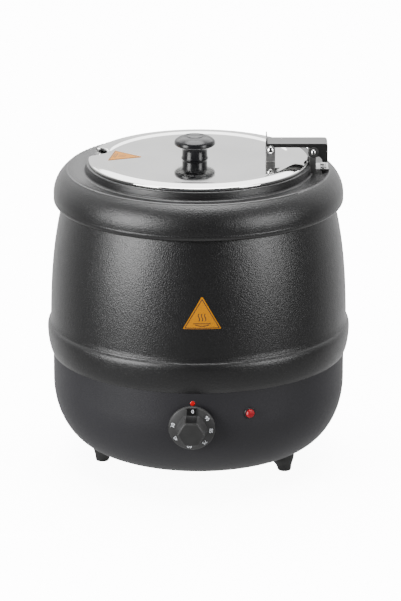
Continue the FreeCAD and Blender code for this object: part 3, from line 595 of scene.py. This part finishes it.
def make_triangle(name, side, place_point, body, stands_for):
    """Thin triangular film whose every point is laid on its surface by place_point."""
    tall = side * math.sqrt(3) / 2
    rows = 26
    cols = 20
    fractions = [0.0] + [0.012 + 0.955 * k / (rows - 1) for k in range(rows)]
    verts = []
    for lift in (0.02, 0.33):
        for t in fractions:
            half = triangle_row(side, t) - (1.6 if t == 0.0 else 0.0)
            for c in range(cols + 1):
                verts.append(place_point(-half + 2 * half * c / cols, tall * t, lift))
    row = cols + 1
    sheet = row * len(fractions)
    faces = []
    for r in range(len(fractions) - 1):
        for c in range(cols):
            a = r * row + c
            faces.append([a, a + 1, a + 1 + row, a + row])
            faces.append([a + sheet, a + row + sheet, a + 1 + row + sheet, a + 1 + sheet])
    ring = list(range(row)) + [r * row + cols for r in range(1, len(fractions))]
    ring += [(len(fractions) - 1) * row + c for c in range(cols - 1, -1, -1)]
    ring += [r * row for r in range(len(fractions) - 2, 0, -1)]
    for i, a in enumerate(ring):
        b = ring[(i + 1) % len(ring)]
        faces.append([a, a + sheet, b + sheet, b])
    piece(name, verts, faces, body, "label_amber", sharp=60, stands_for=stands_for)


def stroke(points, width):
    """Left and right edges of a drawn line."""
    left, right = [], []
    for i, (x, y) in enumerate(points):
        ahead = points[min(i + 1, len(points) - 1)]
        back = points[max(i - 1, 0)]
        along = Vector((ahead[0] - back[0], ahead[1] - back[1])).normalized()
        left.append((x - along.y * width / 2, y + along.x * width / 2))
        right.append((x + along.y * width / 2, y - along.x * width / 2))
    return left, right


def heat_symbol(side):
    """Lines of a plain hot-surface sign: three waves over a dish, with a thin frame."""
    k = side / JACKET_LABEL_SIDE
    wave = [t / 16 for t in range(17)]
    lines = []
    for x in (-3.4, 0.0, 3.4):
        lines.append([((x + 0.75 * math.sin(2 * math.pi * t)) * k, (8.6 + 8.4 * t) * k) for t in wave])
    lines.append([(-9.5 * k, 5.9 * k), (9.5 * k, 5.9 * k)])
    lines.append([((-7.5 + 15 * t) * k, (3.1 + 1.5 * (2 * t - 1) ** 2) * k) for t in wave])
    left = (-side / 2 + 2.2 * k, k)
    right = (side / 2 - 2.2 * k, k)
    tip = (0, side * math.sqrt(3) / 2 - 3.4 * k)
    for a, b in ((left, right), (left, tip), (right, tip)):
        lines.append([(a[0] + (b[0] - a[0]) * t / 24, a[1] + (b[1] - a[1]) * t / 24) for t in range(25)])
    return lines


def make_ink(name, side, place_point, body):
    """The sign's lines as flat ribbons, cut short enough to follow a curved surface."""
    verts = []
    faces = []
    for line in heat_symbol(side):
        fine = []
        for (x0, y0), (x1, y1) in zip(line, line[1:]):
            parts = max(1, int(abs(x1 - x0) / 1.0))
            fine += [(x0 + (x1 - x0) * q / parts, y0 + (y1 - y0) * q / parts) for q in range(parts)]
        fine.append(line[-1])
        left, right = stroke(fine, 0.95 * side / JACKET_LABEL_SIDE)
        first = len(verts)
        for (lx, ly), (rx, ry) in zip(left, right):
            verts.append(place_point(lx, ly, 0.345))
            verts.append(place_point(rx, ry, 0.345))
        for i in range(len(fine) - 1):
            a = first + 2 * i
            faces.append([a, a + 1, a + 3, a + 2])
    piece(name, verts, faces, body, "label_amber", material=LABEL_INK)


def make_labels():
    def jacket_point(x, y, lift):
        return on_jacket(JACKET_LABEL_AT[0] + x, JACKET_LABEL_AT[1] + y, lift)

    def lid_point(x, y, lift):
        across = x * math.cos(LID_LABEL_LEAN) - y * math.sin(LID_LABEL_LEAN)
        along = x * math.sin(LID_LABEL_LEAN) + y * math.cos(LID_LABEL_LEAN)
        return (LID_LABEL_AT[0] + across, LID_LABEL_AT[1] + along, LID_TOP + lift)

    make_triangle("jacket_label_film", JACKET_LABEL_SIDE, jacket_point, "base", ["jacket_label"])
    make_ink("jacket_label_sign", JACKET_LABEL_SIDE, jacket_point, "base")
    make_triangle("lid_label_film", LID_LABEL_SIDE, lid_point, "lid", ["lid_label"])
    make_ink("lid_label_sign", LID_LABEL_SIDE, lid_point, "lid")


# ---- jacket ------------------------------------------------------------------------
def make_jacket():
    """Bead at the foot with a crease above it, barrel-shaped wall and a flat top, in one sheet."""
    band = rounded([(164.4, 128.0, 0), (165.0, 128.25, 0.3), (166.9, 133.0, 3), (168.7, 141.0, 6),
                    (169.7, 149.5, 6), (170.0, 157.2, 4), (168.9, 161.8, 2.2), (166.7, 163.9, 1.2),
                    (166.45, 167.0, 0)], 6)
    wall = [(jacket_radius(z), z) for z in [167.6 + 3.37 * k for k in range(39)]]
    top = rounded([wall[-1], (152.0, 299.0, 1.2), (141.0, 299.0, 0), (141.0, 297.8, 0),
                   (150.8, 297.8, 0)], 5)
    inner = [(jacket_radius(z) - 1.2, z) for z in [296.0 - 12.8 * k for k in range(11)]]
    close = [(168.8, 157), (168.8, 152), (167.4, 141), (165.6, 133), (163.2, 128.1), (164.4, 128.0)]
    lathe("jacket_shell", band + wall[:-1] + top + inner + close, "base", "painted_hammered", turns=TURNS,
          stands_for=["upper_jacket"])


# ---- hinge trim --------------------------------------------------------------------
PIVOT = Vector(JOINTS["lid_hinge"]["pos_m"]) / MM


def make_pivot_bushes():
    """Black bush ring round each head of the hinge pin."""
    for way, side in ((-1, "front"), (1, "rear")):
        ring = rounded([(3.0, 0.02, 0), (3.0, 0.6, 0.1), (5.6, 0.5, 0.4), (5.8, 0.02, 0)], 4)
        out = Vector((0, way, 0))
        across = UP.cross(out)
        at = Vector((PIVOT.x, way * 14.0, PIVOT.z)) * MM
        place = Matrix.Translation(at) @ Matrix((across, UP, out)).transposed().to_4x4()
        lathe("pivot_bush_" + side, ring, "hinge_arm", "nylon_black", turns=64, place=place)


make_jacket()
make_lid()
make_knob()
make_dial()
make_dial_numbers()
make_lamp()
make_index_dot()
make_labels()
make_pivot_bushes()


# ---- camera and studio ---------------------------------------------------------------
CAMERA_RISE = math.radians(17.8)
CAMERA_REACH = 4.5
CAMERA_LENS = 239.3
AIM = Vector((0.0023, 0.0, 0.182))


def make_camera():
    data = bpy.data.cameras.new("camera")
    data.lens = CAMERA_LENS
    data.clip_end = 50
    camera = bpy.data.objects.new("camera", data)
    bpy.context.collection.objects.link(camera)
    camera.location = AIM + CAMERA_REACH * Vector((0, -math.cos(CAMERA_RISE), math.sin(CAMERA_RISE)))
    camera.rotation_euler = (AIM - camera.location).to_track_quat("-Z", "Y").to_euler()
    bpy.context.scene.camera = camera


def soft_light(name, place, target, size, power):
    """Rectangular lamp at one place, facing another."""
    data = bpy.data.lights.new(name, "AREA")
    data.shape = "RECTANGLE"
    data.size, data.size_y = size
    data.energy = power
    light = bpy.data.objects.new(name, data)
    bpy.context.collection.objects.link(light)
    light.location = place
    light.rotation_euler = (Vector(target) - Vector(place)).to_track_quat("-Z", "Y").to_euler()


WORLD_LOW = 0.06           # strength in front of the kettle
WORLD_HIGH = 1.6           # strength behind and above it
WORLD_FLOOR = 1.3          # added towards straight down


def make_world():
    """Pale room behind and above the kettle, dim in front of it, and lit again from the floor."""
    world = bpy.data.worlds.new("studio")
    bpy.context.scene.world = world
    world.use_nodes = True
    tree = world.node_tree
    coords = tree.nodes.new("ShaderNodeTexCoord")
    split = tree.nodes.new("ShaderNodeSeparateXYZ")
    shade = tree.nodes.new("ShaderNodeMapRange")
    rise = tree.nodes.new("ShaderNodeMath")
    rise.operation = "MULTIPLY"
    rise.inputs[1].default_value = 0.6
    slope = tree.nodes.new("ShaderNodeMath")
    slope.operation = "MULTIPLY_ADD"
    slope.inputs[1].default_value = 0.8
    tree.links.new(coords.outputs["Generated"], split.inputs[0])
    tree.links.new(split.outputs["Z"], rise.inputs[0])
    tree.links.new(split.outputs["Y"], slope.inputs[0])
    tree.links.new(rise.outputs[0], slope.inputs[2])
    tree.links.new(slope.outputs[0], shade.inputs["Value"])
    shade.inputs["From Min"].default_value = 0.04
    shade.inputs["From Max"].default_value = 0.65
    shade.inputs["To Min"].default_value = WORLD_LOW
    shade.inputs["To Max"].default_value = WORLD_HIGH
    below = tree.nodes.new("ShaderNodeMapRange")
    tree.links.new(split.outputs["Z"], below.inputs["Value"])
    below.inputs["From Min"].default_value = -0.18
    below.inputs["From Max"].default_value = -0.95
    below.inputs["To Min"].default_value = 0.0
    below.inputs["To Max"].default_value = WORLD_FLOOR
    both = tree.nodes.new("ShaderNodeMath")
    tree.links.new(shade.outputs["Result"], both.inputs[0])
    tree.links.new(below.outputs["Result"], both.inputs[1])
    tree.links.new(both.outputs[0], tree.nodes["Background"].inputs["Strength"])
    tree.nodes["Background"].inputs["Color"].default_value = (1, 1, 1, 1)


FLOOR_REACH = 9.0


def make_studio():
    """White floor that lights nothing by reflection, one wide overhead light and three soft boxes."""
    make_world()
    mesh = bpy.data.meshes.new("floor")
    mesh.from_pydata([(x * FLOOR_REACH, y * FLOOR_REACH, 0) for x, y in ((-1, -1), (1, -1), (1, 1), (-1, 1))],
                     [], [(0, 1, 2, 3)])
    floor = bpy.data.objects.new("floor", mesh)
    bpy.context.collection.objects.link(floor)
    s = Shader("floor_white", Specular_IOR_Level=0.0, Emission_Color=(1, 1, 1), Emission_Strength=10.0)
    s.color(s.noise(3, 2), (0.93, 0.93, 0.93), (0.95, 0.95, 0.95)).roughness(s.noise(8, 2), 0.7, 0.8)
    mesh.materials.append(s.material)
    floor.visible_glossy = False
    floor.visible_diffuse = False
    sun = bpy.data.lights.new("overhead", "SUN")
    sun.energy = 7.0
    sun.angle = math.radians(50)
    lamp = bpy.data.objects.new("overhead", sun)
    bpy.context.collection.objects.link(lamp)
    lamp.rotation_euler = (math.radians(-8), 0, 0)
    soft_light("back_softbox", (0, 1.9, 2.0), (0, 0, 0.3), (3.2, 1.6), 60)
    soft_light("left_softbox", (-1.9, -1.35, 0.75), (0, 0, 0.22), (1.15, 1.5), 108)
    soft_light("right_softbox", (1.9, -1.40, 0.75), (0, 0, 0.22), (0.95, 1.3), 50)


make_camera()
make_studio()
